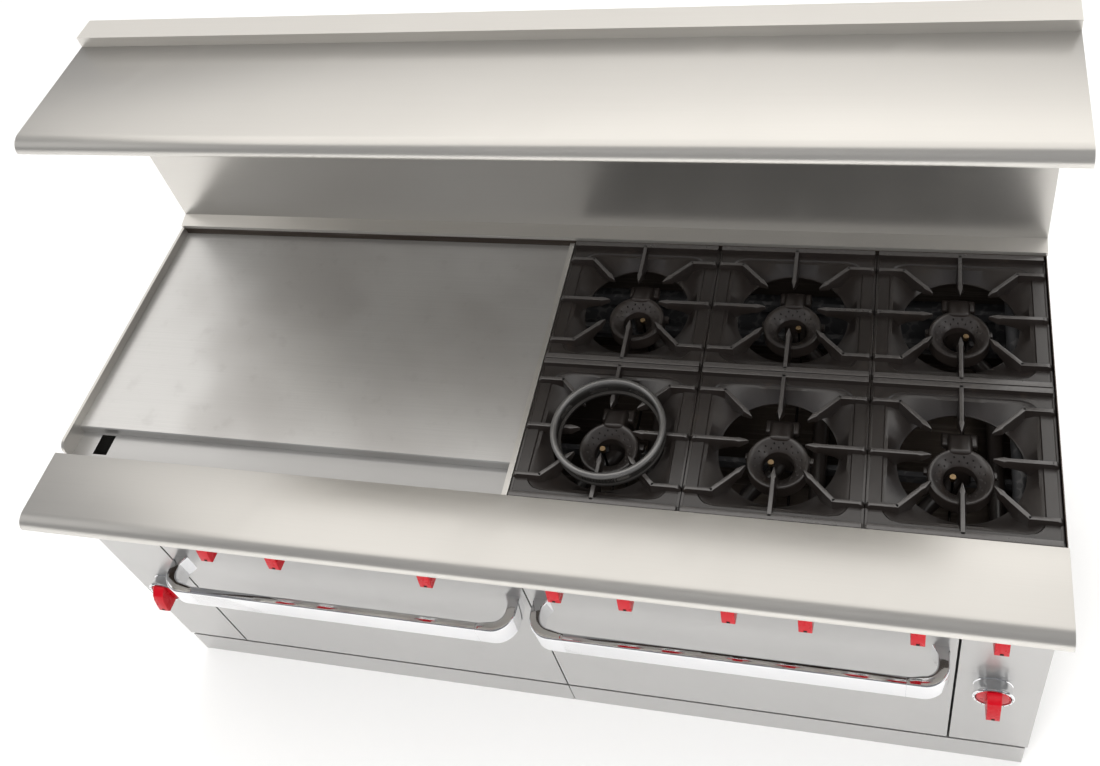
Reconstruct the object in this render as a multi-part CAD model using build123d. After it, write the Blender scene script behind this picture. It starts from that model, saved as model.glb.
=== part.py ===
from build123d import *
import os

# Heavy-duty gas range: griddle, six open burners, two ovens, flue riser and high shelf.
# Millimetres. X runs left to right, Y front to back, Z up. The origin is on the
# floor, under the middle of the overall box.

os.makedirs("parts", exist_ok=True)

# ---------------------------------------------------------------- overall sizes
WIDTH = 1828.8  # across the side panels
DEPTH = 828.0  # ledge nose to flue back
COOK_Z = 771.0  # grate tops and landing ledge
SHELF_Z = 1267.0  # shelf deck
SHELF_D = 276.0
UPSTAND = 22.0  # flue cap above the shelf deck

# ---------------------------------------------------------------- sheet metal and gaps
SHEET = 1.5  # outer stainless sheet
LINER = 2.0  # oven liner and face frame
REVEAL = 1.5  # half the gap between the two doors
SEAM = 4.5  # gap between a door and its side panel
FIT = 0.05  # radial clearance of a running fit
LIFT = 0.3  # gap under a piece that only rests
SLIP = 1.0  # gap beside a piece that slides or lifts out

# ---------------------------------------------------------------- plan of the top
LEDGE_OUT = 93.0  # ledge nose ahead of the front plane
LEDGE_D = 153.0  # ledge, nose to grates
LEDGE_H = 30.0
STEP_D = 30.0  # step at the foot of the riser
STEP_H = 14.0
FLUE_D = 55.0  # riser front to back
DIVIDER_W = 10.0  # strip between griddle and grates
DIVIDER_X = 2.0  # its middle
GRIDDLE_T = 25.0
GRIDDLE_DROP = 16.0  # griddle face under the grate tops
SPLASH_T = 6.0
SPLASH_UP = 3.0  # splash top over the grate tops
SPLASH_IN = 12.0  # splash front edge behind the ledge
SPLASH_R = 20.0
TROUGH_D = 71.0
TROUGH_DROP = 36.0  # trough floor under the grate tops
SLOT_X = 44.0  # grease slot from the splash
SLOT_W = 31.0
SLOT_D = 44.0

# ---------------------------------------------------------------- front
BODY_Z = 85.0  # underside of doors and panels
KICK_H = 77.0
KICK_IN = 4.0  # kick plate short of the side
SIDE_W = 143.6  # side panels beside the doors
DOOR_TOP = 560.0
DOOR_T = 42.0
DOOR_GAP = 4.0  # closed door to face frame
DRAWER_H = 33.0
DRAWER_D = 540.0
GREASE_W = 305.0
CONTROL_Z = 637.0  # axis of the top controls
THERMO_Z = 363.0  # axis of the oven controls
THERMO_IN = 82.4  # and its distance in from the side
GRIDDLE_KNOB_PARTS = (0.658, 0.5, 0.166)  # parts of the half width, left of the middle
KNOB_PAIR = 127.0  # between the two knobs of a pair

# ---------------------------------------------------------------- knobs and handles
BEZEL_R = 36.0
BEZEL_D = 25.0
BEZEL_WALL = 6.0
GRIP_W = 24.0
GRIP_L = 57.0
GRIP_D = 28.0
STEM_R = 4.0
HANDLE_IN = 12.0  # handle ends inside the door's sides
HANDLE_OUT = 75.0
HANDLE_H = 54.0
HANDLE_T = 16.0
HANDLE_Z = 474.0
HANDLE_R = 45.0  # outer corner in plan
HANDLE_ARM = 30.0
CASTING_L = 70.0  # end casting along the bar

# ---------------------------------------------------------------- hinges
HINGE_Y = 12.0  # pin behind the door face
HINGE_Z = 14.0  # pin above the door's underside
HINGE_IN = 60.0  # hinge arm from the door's side
PIN_R = 4.0
ARM_T = 5.0
ARM_R = 9.0
LUG_T = 8.0

# ---------------------------------------------------------------- ovens
CAVITY_IN = 47.4  # oven wall inside the door's side
CAVITY_BACK = 127.0  # oven's back wall ahead of the flue back
CAVITY_Z = (135.0, 515.0)
RACK_Z = 325.0
GUIDE = (8.0, 3.0)
WIRE_R = 2.5
RACK_WIRES = 18

# ---------------------------------------------------------------- burners and gas
GRATE_H = 40.0
BURNER_R = 50.0
BURNER_HOLE = 26.0
BURNER_TOP = 43.0  # burner head under the grate tops
BURNER_FWD = 11.0  # burner ahead of its grate's middle
MIXER_R = 14.0
PIPE_R = 13.4  # three-quarter inch pipe
MANIFOLD_Y = 59.0  # manifold behind the front plane
RAIL_H = 22.0
INLET_R = 12.3
INLET_PAST = 30.5  # inlet beyond the last burner valve
INLET_Z = 700.0
ELBOW = 18.0  # pipe elbow, corner to end

# ---------------------------------------------------------------- grates and wok ring
RIM_W = 11.0
PLATE_DROP = 11.0  # grate's cast plate under its top
CAST_T = 5.0
MOUTH_R = 103.0
BLADE_T = 8.0
TIP = 48.0  # finger tips from the middle
ARM_Y = 101.0  # side fingers from the middle
BEND_X = 100.0
WOK_R = 97.0
WOK_H = 34.0
WOK_TUBE = 6.0
WOK_X = 11.0  # ring off its grate's middle
WOK_Y = -14.0

# ---------------------------------------------------------------- base
PLATE = 120.0
PLATE_T = 8.0
BOLT_SPACING = 75.0
BOLT_R = 5.5
RAIL_W = 40.0
RAIL_BACK = 24.0  # front rail behind the kick plate, clear of an opened door

# ---------------------------------------------------------------- worked-out places
HALF = WIDTH / 2
INNER = HALF - SHEET
FRONT = LEDGE_OUT - DEPTH / 2
BACK = DEPTH / 2
LEDGE_BACK = LEDGE_D - DEPTH / 2
RISER_Y = BACK - FLUE_D
TOP_BACK = RISER_Y - STEP_D
SIDE_TOP = COOK_Z - LEDGE_H
FRAME_Y = FRONT + DOOR_T + DOOR_GAP
DECK_Z = DOOR_TOP + LINER
DOOR_X = (REVEAL, HALF - SIDE_W - SEAM)
DOOR_MID = sum(DOOR_X) / 2
CAVITY_X = (DOOR_X[0] + CAVITY_IN, DOOR_X[1] - CAVITY_IN)
CAVITY_Y = (FRAME_Y + LINER, BACK - CAVITY_BACK)
DRAWER_Z = (DECK_Z + SLIP, DECK_Z + SLIP + DRAWER_H)
PANEL_Z = DRAWER_Z[1] + SLIP
MANIFOLD = FRONT + MANIFOLD_Y
GRATE_X0 = DIVIDER_X + DIVIDER_W / 2 + SLIP
GRATE_W = (INNER - SHEET - SLIP - GRATE_X0) / 3
GRATE_L = (TOP_BACK - SHEET - LEDGE_BACK) / 2
COLUMNS = [GRATE_X0 + GRATE_W * (i + 0.5) for i in range(3)]
ROWS = [LEDGE_BACK + GRATE_L * (i + 0.5) for i in range(2)]
BURNER_ROWS = [row - BURNER_FWD for row in ROWS]
GRATE_Z = COOK_Z - GRATE_H - LIFT
GRIDDLE_Z = COOK_Z - GRIDDLE_DROP
PLATE_Y = LEDGE_BACK + TROUGH_D
SPLASH_X = (-INNER, -INNER + SPLASH_T)
DIVIDER = (DIVIDER_X - DIVIDER_W / 2, DIVIDER_X + DIVIDER_W / 2)
RAIL_TOP = CONTROL_Z - MIXER_R
GRIDDLE_KNOBS = [-HALF * part for part in GRIDDLE_KNOB_PARTS]
BURNER_KNOBS = [HALF / 3 * (i + 0.5) + side * KNOB_PAIR / 2 for i in range(3) for side in (-1, 1)]
TOP_KNOBS = GRIDDLE_KNOBS + BURNER_KNOBS
THERMO_X = HALF - THERMO_IN
INLET_X = BURNER_KNOBS[-1] + INLET_PAST
BASE_Y = FRONT + SHEET + RAIL_BACK
SIDES = {"left": -1, "right": 1}


# ---------------------------------------------------------------- helpers
def block(x, y, z):
    """Box between two values on each axis."""
    low = (min(x), min(y), min(z))
    return Pos(*low) * Box(abs(x[1] - x[0]), abs(y[1] - y[0]), abs(z[1] - z[0]), align=(Align.MIN,) * 3)


def span(x, side):
    """An X range on the right, or its mirror on the left."""
    return (x[0] * side, x[1] * side)


def prism_x(outline, x):
    """A closed outline of (y, z) points carried along X."""
    face = Plane.YZ.offset(min(x)) * make_face(Polyline(*outline, close=True))
    return extrude(face, abs(x[1] - x[0]), dir=(1, 0, 0))


def rod(start, end, radius):
    axis = Vector(*end) - Vector(*start)
    return extrude(Plane(origin=start, z_dir=axis) * Circle(radius), axis.length)


def turned(outline, centre, tilt=None):
    """A closed outline of (radius, height) points turned about an upright or tilted axis."""
    body = revolve(Plane.XZ * make_face(Polyline(*outline, close=True)), Axis.Z)
    return Pos(*centre) * (tilt * body if tilt else body)


def open_box(x, y, z, t):
    """Five welded plates around a space that is open at the front."""
    wide = (x[0] - t, x[1] + t)
    deep = (y[0], y[1] + t)
    return [
        block(wide, deep, (z[0] - t, z[0])),
        block(wide, deep, (z[1], z[1] + t)),
        block((x[0] - t, x[0]), deep, z),
        block((x[1], x[1] + t), deep, z),
        block(x, (y[1], y[1] + t), z),
    ]


def rolled_edge(y_nose, y_back, top, radius, lip):
    """Flat top, half-round nose, the lip turned back under it, and a plate over each end."""
    centre, middle = y_nose + radius, top - radius
    ends = (-INNER, INNER)
    nose = rod((-INNER, centre, middle), (INNER, centre, middle), radius)
    nose -= rod((-INNER, centre, middle), (INNER, centre, middle), radius - SHEET)
    nose -= block(ends, (centre, centre + radius), (top - 2 * radius, top))
    pieces = [
        block(ends, (centre, y_back), (top - SHEET, top)),
        block(ends, (centre, centre + lip), (top - 2 * radius, top - 2 * radius + SHEET)),
        nose,
    ]
    for side in SIDES.values():
        x = sorted(span((INNER, HALF), side))
        cap = rod((x[0], centre, middle), (x[1], centre, middle), radius)
        pieces.append(cap + block(x, (centre, y_back), (top - 2 * radius, top)))
    return pieces


# ---------------------------------------------------------------- base and casing
def base_frame():
    """Box-section rails on six drilled plates."""
    low, high = PLATE_T, BODY_Z
    front = (BASE_Y, BASE_Y + RAIL_W)
    rear = (BACK - SHEET - RAIL_W, BACK - SHEET)
    rails = [block((-INNER, INNER), y, (low, high)) for y in (front, rear)]
    cross = [-INNER + RAIL_W / 2, 0, INNER - RAIL_W / 2]
    for x in cross:
        rails.append(block((x - RAIL_W / 2, x + RAIL_W / 2), (front[1], rear[0]), (low, high)))
    plates = []
    for x in (-INNER + PLATE / 2, 0, INNER - PLATE / 2):
        for y in (front[0] + PLATE / 2, BACK - SHEET - PLATE / 2):
            plate = Pos(x, y, PLATE_T / 2) * Box(PLATE, PLATE, PLATE_T)
            plate -= [Pos(x, y, PLATE_T / 2) * loc * Cylinder(BOLT_R, PLATE_T)
                      for loc in GridLocations(BOLT_SPACING, BOLT_SPACING, 2, 2)]
            plates.append(plate)
    return rails + plates


def kick_plates():
    """Two folded plates that meet under the gap between the doors."""
    flange = (FRONT + SHEET, BASE_Y)
    plates = []
    for side in SIDES.values():
        x = span((REVEAL / 2, HALF - KICK_IN), side)
        plate = block(x, (FRONT, FRONT + SHEET), (0, KICK_H))
        plate += block(x, flange, (KICK_H - SHEET, KICK_H))
        plate += block(x, flange, (0, SHEET))
        plates.append(plate)
    return plates


def side_panel(side):
    return [block(span((INNER, HALF), side), (FRONT + SHEET, BACK), (BODY_Z, SIDE_TOP))]


def front_panel(side):
    """Folded cover beside a door, drilled for the thermostat stem."""
    x = (HALF - SIDE_W, HALF)
    y = (FRONT + SHEET, FRAME_Y)
    panel = block(span(x, side), (FRONT, FRONT + SHEET), (BODY_Z, DOOR_TOP))
    panel += block(span((x[0], x[0] + SHEET), side), y, (BODY_Z, DOOR_TOP))
    panel += block(span((x[0], INNER), side), y, (BODY_Z, BODY_Z + SHEET))
    panel -= rod((THERMO_X * side, FRONT, THERMO_Z), (THERMO_X * side, FRONT + SHEET, THERMO_Z), STEM_R + SLIP)
    return [panel]


def back_panel():
    panel = block((-INNER, INNER), (BACK - SHEET, BACK), (BODY_Z, SIDE_TOP))
    panel -= rod((INLET_X, BACK - SHEET, INLET_Z), (INLET_X, BACK, INLET_Z), PIPE_R * 1.5)
    return [panel]


def oven_deck():
    """Sheet over both ovens, which carries the crumb tray and grease drawer."""
    return [block((-INNER, INNER), (FRONT + SHEET, BACK - SHEET), (DOOR_TOP, DECK_Z))]


def centre_divider():
    return [block((-SHEET / 2, SHEET / 2), (FRAME_Y + LINER, BACK - SHEET), (BODY_Z, DOOR_TOP))]


def control_panel():
    """Panel under the ledge, with a filler between the two drawers."""
    panel = block((-INNER, INNER), (FRONT, FRONT + SHEET), (PANEL_Z, COOK_Z - SHEET))
    for x in TOP_KNOBS:
        panel -= rod((x, FRONT, CONTROL_Z), (x, FRONT + SHEET, CONTROL_Z), STEM_R + SLIP)
    filler = (-INNER + GREASE_W + 3 * SLIP, GRATE_X0 - SLIP)
    return [panel, block(filler, (FRONT, FRONT + SHEET), (DECK_Z, PANEL_Z))]


def landing_ledge():
    """Full-width ledge with a rolled nose, end caps and a flange down behind it."""
    radius = LEDGE_H / 2
    ledge = rolled_edge(-DEPTH / 2, LEDGE_BACK, COOK_Z, radius, LEDGE_OUT - radius)
    flange = block((-INNER, INNER), (LEDGE_BACK - SHEET, LEDGE_BACK), (GRATE_Z - SHEET, COOK_Z - SHEET))
    return ledge + [flange]


# ---------------------------------------------------------------- cooking top
def burner_box():
    """Rear and right walls of the open burner bay, and the bars that carry the grates."""
    rear = block((-INNER, INNER), (TOP_BACK - SHEET, TOP_BACK), (RAIL_TOP, COOK_Z - SHEET))
    pieces = [
        rear - rod((INLET_X, TOP_BACK - SHEET, INLET_Z), (INLET_X, TOP_BACK, INLET_Z), PIPE_R + SLIP),
        block((INNER - SHEET, INNER), (LEDGE_BACK, TOP_BACK - SHEET), (RAIL_TOP, COOK_Z - 2 * SHEET)),
    ]
    x = (DIVIDER[1], INNER - SHEET)
    middle = LEDGE_BACK + GRATE_L
    bars = (
        (LEDGE_BACK, LEDGE_BACK + RIM_W),
        (middle - RIM_W, middle + RIM_W),
        (TOP_BACK - SHEET - RIM_W, TOP_BACK - SHEET),
    )
    return pieces + [block(x, y, (GRATE_Z - CAST_T, GRATE_Z)) for y in bars]


def burner_rails():
    """Flat bars across the body, under the mixers and the burner throats."""
    ys = [MANIFOLD + 26] + [row + BURNER_R + 4 for row in BURNER_ROWS] + [TOP_BACK - 29]
    return [block((-INNER, INNER), (y, y + 10), (RAIL_TOP - RAIL_H, RAIL_TOP)) for y in ys]


def divider_strip():
    """Folded strip between the griddle and the grates, clear over the manifold."""
    strip = block(DIVIDER, (LEDGE_BACK, TOP_BACK - SHEET), (CONTROL_Z + PIPE_R + SLIP, GRIDDLE_Z + 8))
    return [strip - block((DIVIDER[0] + SHEET, DIVIDER[1] - SHEET), (LEDGE_BACK, TOP_BACK), (0, GRIDDLE_Z + 6))]


def griddle_plate():
    x = (SPLASH_X[1], DIVIDER[0])
    plate = block(x, (PLATE_Y, TOP_BACK - SHEET), (GRIDDLE_Z - GRIDDLE_T, GRIDDLE_Z))
    return [chamfer(plate.edges().filter_by(Axis.X).group_by(Axis.Y)[0].sort_by(Axis.Z)[-1:], 2)]


def griddle_splash():
    """Side splash with a rounded front corner."""
    y, z = (LEDGE_BACK + SPLASH_IN, TOP_BACK - SHEET), (RAIL_TOP, COOK_Z + SPLASH_UP)
    wall = block(SPLASH_X, y, z)
    corner = wall.edges().filter_by(Axis.X).group_by(Axis.Y)[0].sort_by(Axis.Z)[-1]
    return [fillet(corner, SPLASH_R)]


def griddle_trough():
    """Grease trough in front of the plate, with a slot down to the drawer."""
    floor = COOK_Z - TROUGH_DROP
    x = (SPLASH_X[1], DIVIDER[0])
    trough = block(x, (LEDGE_BACK, PLATE_Y), (floor - SHEET, floor))
    slot = (SPLASH_X[1] + SLOT_X, SPLASH_X[1] + SLOT_X + SLOT_W)
    trough -= block(slot, (PLATE_Y - SLOT_D - 3, PLATE_Y - 3), (floor - SHEET, floor))
    return [trough]


def griddle_burners():
    """Straight tube burners under the plate."""
    tubes = []
    for i in range(3):
        x = SPLASH_X[1] + (DIVIDER[0] - SPLASH_X[1]) * (i + 0.5) / 3
        tube = rod((x, MANIFOLD + 22, CONTROL_Z), (x, TOP_BACK - 20, CONTROL_Z), MIXER_R)
        tubes.append(tube - rod((x, MANIFOLD + 22, CONTROL_Z), (x, TOP_BACK - 30, CONTROL_Z), MIXER_R - 3))
    return tubes


def burners(row, side):
    """Three cast rings, each with its throat behind it and a mixer running to the front."""
    y = BURNER_ROWS[row]
    top = COOK_Z - BURNER_TOP
    ring = [(BURNER_HOLE, top - 34), (BURNER_HOLE, top - 15), (BURNER_R - 6, top), (BURNER_R - 3, top),
            (BURNER_R, top - 3), (BURNER_R, top - 28), (BURNER_R - 8, top - 34)]
    cast = []
    for x in COLUMNS:
        head = turned(ring, (x, y, 0))
        throat = block((x - 25, x + 25), (y + 36, y + BURNER_R + 16), (RAIL_TOP, top + 4))
        throat -= turned([(0, top - 10), (BURNER_R - 8, top - 10), (BURNER_R - 8, top + 10), (0, top + 10)], (x, y, 0))
        bend = x + side * KNOB_PAIR / 2
        route = FilletPolyline((x, y + BURNER_R + 6, CONTROL_Z), (x, y + 40, CONTROL_Z),
                               (bend, y - 20, CONTROL_Z), (bend, MANIFOLD + 22, CONTROL_Z), radius=25)
        mixer = sweep(Plane(origin=route @ 0, z_dir=route % 0) * Circle(MIXER_R), path=route)
        cast.append(head + throat + mixer)
    return cast


def pilots():
    """Pilot tubes that rise inside each burner ring, with a brass tip."""
    low = RAIL_TOP - RAIL_H - 5.5
    top = COOK_Z - BURNER_TOP - 14
    tubes = []
    for y, side in zip(BURNER_ROWS, (-1, 1)):
        for column in COLUMNS:
            x = column + side * 12
            route = FilletPolyline((x, MANIFOLD, CONTROL_Z - PIPE_R), (x, MANIFOLD, low), (x, y, low),
                                   (x, y, top), radius=10)
            tubes.append(sweep(Plane(origin=route @ 0, z_dir=route % 0) * Circle(2.5), path=route))
            tubes.append(rod((x, y, top), (x, y, top + 9), 5))
    return tubes


def gas_manifold():
    """Pipe behind the control panel, two elbows, and the feed that runs to the inlet at the back."""
    corners = [Vector(GRIDDLE_KNOBS[0] - 40, MANIFOLD, CONTROL_Z), Vector(INLET_X, MANIFOLD, CONTROL_Z),
               Vector(INLET_X, MANIFOLD, INLET_Z), Vector(INLET_X, BACK - 45, INLET_Z)]
    ways = [(b - a).normalized() for a, b in zip(corners, corners[1:])]
    pieces = []
    for i, way in enumerate(ways):
        start = corners[i] + way * (ELBOW if i else 0)
        end = corners[i + 1] - way * (ELBOW if i < 2 else 0)
        pieces.append(rod(tuple(start), tuple(end), PIPE_R))
    for corner, before, after in zip(corners[1:3], ways, ways[1:]):
        elbow = Pos(*corner) * Sphere(PIPE_R * 1.2)
        elbow += rod(tuple(corner - before * ELBOW), tuple(corner), PIPE_R * 1.2)
        elbow += rod(tuple(corner), tuple(corner + after * ELBOW), PIPE_R * 1.2)
        pieces.append(elbow)
    coupling = rod((INLET_X, BACK - 45, INLET_Z), (INLET_X, BACK, INLET_Z), PIPE_R * 1.4)
    coupling -= rod((INLET_X, BACK - 30, INLET_Z), (INLET_X, BACK, INLET_Z), INLET_R)
    return pieces + [coupling]


def gas_valves():
    """One valve per top control, saddled on the manifold and bored for its stem."""
    valves = []
    for x in TOP_KNOBS:
        body = block((x - 12, x + 12), (FRONT + 9, MANIFOLD), (CONTROL_Z - 14, CONTROL_Z + 14))
        body -= rod((x - 12, MANIFOLD, CONTROL_Z), (x + 12, MANIFOLD, CONTROL_Z), PIPE_R)
        body -= block((x - 12, x + 12), (MANIFOLD - 6, MANIFOLD), (CONTROL_Z - 14, CONTROL_Z + 14))
        body -= rod((x, FRONT, CONTROL_Z), (x, MANIFOLD - 22, CONTROL_Z), STEM_R + FIT)
        valves.append(body)
    return valves


def thermostats():
    """Oven thermostats behind the front panels, bored for their stems."""
    bodies = []
    for side in SIDES.values():
        x = THERMO_X * side
        body = block((x - 28, x + 28), (FRONT + SHEET, FRONT + 50), (THERMO_Z - 35, THERMO_Z + 35))
        bodies.append(body - rod((x, FRONT, THERMO_Z), (x, FRONT + 32, THERMO_Z), STEM_R + FIT))
    return bodies


def drawer(x, lip):
    """Shallow tray of welded plates; its front closes the slot under the control panel."""
    y = (FRONT + SHEET, FRONT + SHEET + DRAWER_D)
    z = DRAWER_Z
    t = SHEET
    front = block(x, (FRONT, FRONT + SHEET), z)
    front += block((x[0] + lip, x[1] - lip), (FRONT - 14, FRONT), (z[1] - 8, z[1] - 8 + t))
    inside = (x[0] + 4, x[1] - 4)
    return [
        front,
        block(inside, y, (z[0], z[0] + t)),
        block((inside[0], inside[0] + t), y, (z[0] + t, z[1] - 4)),
        block((inside[1] - t, inside[1]), y, (z[0] + t, z[1] - 4)),
        block((inside[0] + t, inside[1] - t), (y[1] - t, y[1]), (z[0] + t, z[1] - 4)),
    ]


# ---------------------------------------------------------------- controls
def knob_bezels():
    rings = []
    profile = [(BEZEL_R - BEZEL_WALL, 0), (BEZEL_R - 2, 0), (BEZEL_R - 2, BEZEL_D - 6), (BEZEL_R, BEZEL_D - 4),
               (BEZEL_R, BEZEL_D), (BEZEL_R - BEZEL_WALL, BEZEL_D)]
    places = [(x, CONTROL_Z) for x in TOP_KNOBS]
    places += [(side * THERMO_X, THERMO_Z) for side in SIDES.values()]
    for x, z in places:
        rings.append(turned(profile, (x, FRONT, z), Rot(X=90)))
    return rings


def knob(x, z, stem_depth):
    """Moulded knob, its disc inside the bezel and its grip across the front, with the stem behind."""
    disc_r = BEZEL_R - BEZEL_WALL - SLIP
    face = FRONT - BEZEL_D
    near, half = face - SLIP, GRIP_L / 2
    wedge = [(0, -1), (0.93, -0.93), (1, -0.83), (0.93, -0.35), (0.79, 0.28), (0.59, 0.66), (0.31, 0.9), (0, 1)]
    grip = prism_x([(near - out * GRIP_D, z + up * half) for out, up in wedge], (x - GRIP_W / 2, x + GRIP_W / 2))
    head = grip + rod((x, face - SLIP, z), (x, face, z), disc_r * 0.7)
    head += rod((x, face + 7, z), (x, face, z), disc_r)
    return [head, rod((x, face + 7, z), (x, FRONT + stem_depth, z), STEM_R)]


# ---------------------------------------------------------------- grates
def blade(inner, outer, turn, place):
    """Upright finger from its tip to its foot, deeper where it meets the cast plate."""
    arch = inner + 0.55 * (outer - inner)
    outline = [(inner, 0), (outer, 0), (outer, -GRATE_H + 4), (arch + 12, -GRATE_H + 4), (arch, -22), (inner, -12)]
    face = Plane.XZ * make_face(Polyline(*outline, close=True))
    upright = extrude(face, BLADE_T / 2, both=True)
    return Pos(*place) * Rot(Z=turn) * upright


def grate(column, row):
    """Cast top grate: a dished plate around a round mouth, two raised rims and eight fingers."""
    half_x, half_y = GRATE_W / 2 - SLIP / 2, GRATE_L / 2 - SLIP / 2
    reach = (half_x ** 2 + half_y ** 2) ** 0.5 + 1
    dish = [(MOUTH_R, -GRATE_H), (MOUTH_R + CAST_T, -GRATE_H), (MOUTH_R + 38, -PLATE_DROP - CAST_T),
            (reach, -PLATE_DROP - CAST_T), (reach, -PLATE_DROP), (MOUTH_R + 35, -PLATE_DROP),
            (MOUTH_R, -GRATE_H + CAST_T)]
    cast = turned(dish, (0, 0, 0)) & block((-half_x, half_x), (-half_y, half_y), (-GRATE_H, 0))
    for side in (-1, 1):
        cast += block((-half_x, half_x), (side * (half_y - RIM_W), side * half_y), (-GRATE_H, 0))
        cast += block((side * (half_x - RIM_W / 2), side * half_x), (-half_y, half_y), (-GRATE_H, -PLATE_DROP))
        cast += blade(TIP, half_y - RIM_W / 2, 90 * side, (0, 0, 0))
        cast += blade(TIP, half_x, 90 - 90 * side, (0, 0, 0))
    diagonal = (2 ** 0.5) * (BEND_X - TIP)
    for sx in (-1, 1):
        for sy in (-1, 1):
            foot = block((sx * BEND_X, sx * half_x), (sy * ARM_Y - BLADE_T / 2, sy * ARM_Y + BLADE_T / 2),
                         (-GRATE_H + 4, 0))
            turn = {(1, 1): 45, (-1, 1): 135, (-1, -1): 225, (1, -1): 315}[sx, sy]
            cast += foot + blade(0, diagonal, turn, (sx * (BEND_X - (BEND_X - TIP)), sy * (ARM_Y - BEND_X + TIP), 0))
    place = Pos(COLUMNS[column], ROWS[row], COOK_Z)
    return [place * cast]


def wok_ring():
    """Ring that rests on the front left grate, with windows round its wall."""
    z = COOK_Z + LIFT
    wall = [(WOK_R - 9, 0), (WOK_R + 3, 0), (WOK_R + 3, 5), (WOK_R, 7), (WOK_R - 1, WOK_H - WOK_TUBE),
            (WOK_R - 5, WOK_H - WOK_TUBE), (WOK_R - 5, 7), (WOK_R - 9, 5)]
    ring = turned(wall, (0, 0, 0))
    for i in range(8):
        ring -= Rot(Z=45 * i + 22.5) * Pos(WOK_R, 0, WOK_H / 2 - 2) * Box(24, 34, 12)
    ring += Pos(0, 0, WOK_H - WOK_TUBE) * Torus(WOK_R, WOK_TUBE)
    return [Pos(COLUMNS[0] + WOK_X, ROWS[0] + WOK_Y, z) * ring]


# ---------------------------------------------------------------- ovens
def oven_face_frame():
    """Welded strips around both oven mouths."""
    y = (FRAME_Y, FRAME_Y + LINER)
    edge = HALF - SIDE_W
    low, high = CAVITY_Z
    strips = [block((-edge, edge), y, (BODY_Z, low)), block((-edge, edge), y, (high, DOOR_TOP))]
    strips.append(block((-CAVITY_X[0], CAVITY_X[0]), y, (low, high)))
    for side in SIDES.values():
        strips.append(block(span((CAVITY_X[1], edge), side), y, (low, high)))
    return strips


def oven_liner(side):
    """Oven cavity of five plates, with welded rack guides on both walls."""
    x = tuple(sorted(span(CAVITY_X, side)))
    guides = []
    for z in (RACK_Z - 100, RACK_Z, RACK_Z + 100):
        for wall in ((x[0], x[0] + GUIDE[0]), (x[1] - GUIDE[0], x[1])):
            guides.append(block(wall, CAVITY_Y, (z - GUIDE[1], z)))
    return open_box(x, CAVITY_Y, CAVITY_Z, LINER) + guides


def oven_racks():
    """One wire rack in each oven, on the middle guides."""
    racks = []
    for side in SIDES.values():
        x0, x1 = sorted(span(CAVITY_X, side))
        x0, x1 = x0 + 2 + WIRE_R, x1 - 2 - WIRE_R
        y0, y1 = CAVITY_Y[0] + 10, CAVITY_Y[1] - 6
        z = RACK_Z + WIRE_R
        rack = rod((x0, y0, z), (x0, y1, z), WIRE_R) + rod((x1, y0, z), (x1, y1, z), WIRE_R)
        for y in (y0, (y0 + y1) / 2, y1):
            rack += rod((x0, y, z), (x1, y, z), WIRE_R)
        for i in range(RACK_WIRES):
            x = x0 + (x1 - x0) * (i + 1) / (RACK_WIRES + 1)
            rack += rod((x, y0, z + WIRE_R), (x, y1, z + WIRE_R), WIRE_R * 0.8)
        racks.append(rack)
    return racks


def oven_burners():
    """Tube burner on the base frame under each oven floor."""
    tubes = []
    for side in SIDES.values():
        x = DOOR_MID * side
        z = BODY_Z + MIXER_R
        y = (FRAME_Y + LINER + 4, BACK - SHEET - RAIL_W / 2)
        tube = rod((x, y[0], z), (x, y[1], z), MIXER_R)
        tubes.append(tube - rod((x, y[0], z), (x, y[1] - 5, z), MIXER_R - 3))
    return tubes


# ---------------------------------------------------------------- doors
def hinge_places(side):
    return [side * (DOOR_X[0] + HINGE_IN), side * (DOOR_X[1] - HINGE_IN)]


def door_pan(side):
    """Outer door pan with hinge lugs welded in its lower corners."""
    x = tuple(sorted(span(DOOR_X, side)))
    z = (BODY_Z, DOOR_TOP - SLIP)
    back = FRONT + DOOR_T - LINER
    pan = block(x, (FRONT, back), z)
    pan -= block((x[0] + SHEET, x[1] - SHEET), (FRONT + SHEET, back), (z[0] + SHEET, z[1] - SHEET))
    pin_y, pin_z = FRONT + HINGE_Y, BODY_Z + HINGE_Z
    for hinge in hinge_places(side):
        for way in (-1, 1):
            lug = sorted((hinge + way * (ARM_T / 2 + SLIP), hinge + way * (ARM_T / 2 + SLIP + LUG_T)))
            pan += block(lug, (FRONT + SHEET, pin_y + ARM_R), (z[0] + SHEET, pin_z + ARM_R))
            pan -= rod((lug[0], pin_y, pin_z), (lug[1], pin_y, pin_z), PIN_R + FIT)
        gap = (hinge - ARM_T / 2 - SLIP, hinge + ARM_T / 2 + SLIP)
        pan -= block(gap, (FRONT + SHEET, back), (z[0], z[0] + SHEET))
    return [pan]


def door_liner(side):
    """Inner door plate, notched over the hinge arms."""
    x = tuple(sorted(span(DOOR_X, side)))
    back = FRONT + DOOR_T
    plate = block(x, (back - LINER, back), (BODY_Z, DOOR_TOP - SLIP))
    for hinge in hinge_places(side):
        gap = (hinge - ARM_T / 2 - SLIP, hinge + ARM_T / 2 + SLIP)
        plate -= block(gap, (back - LINER, back), (BODY_Z, BODY_Z + HINGE_Z + ARM_R + 3 * SLIP))
    return [plate]


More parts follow.
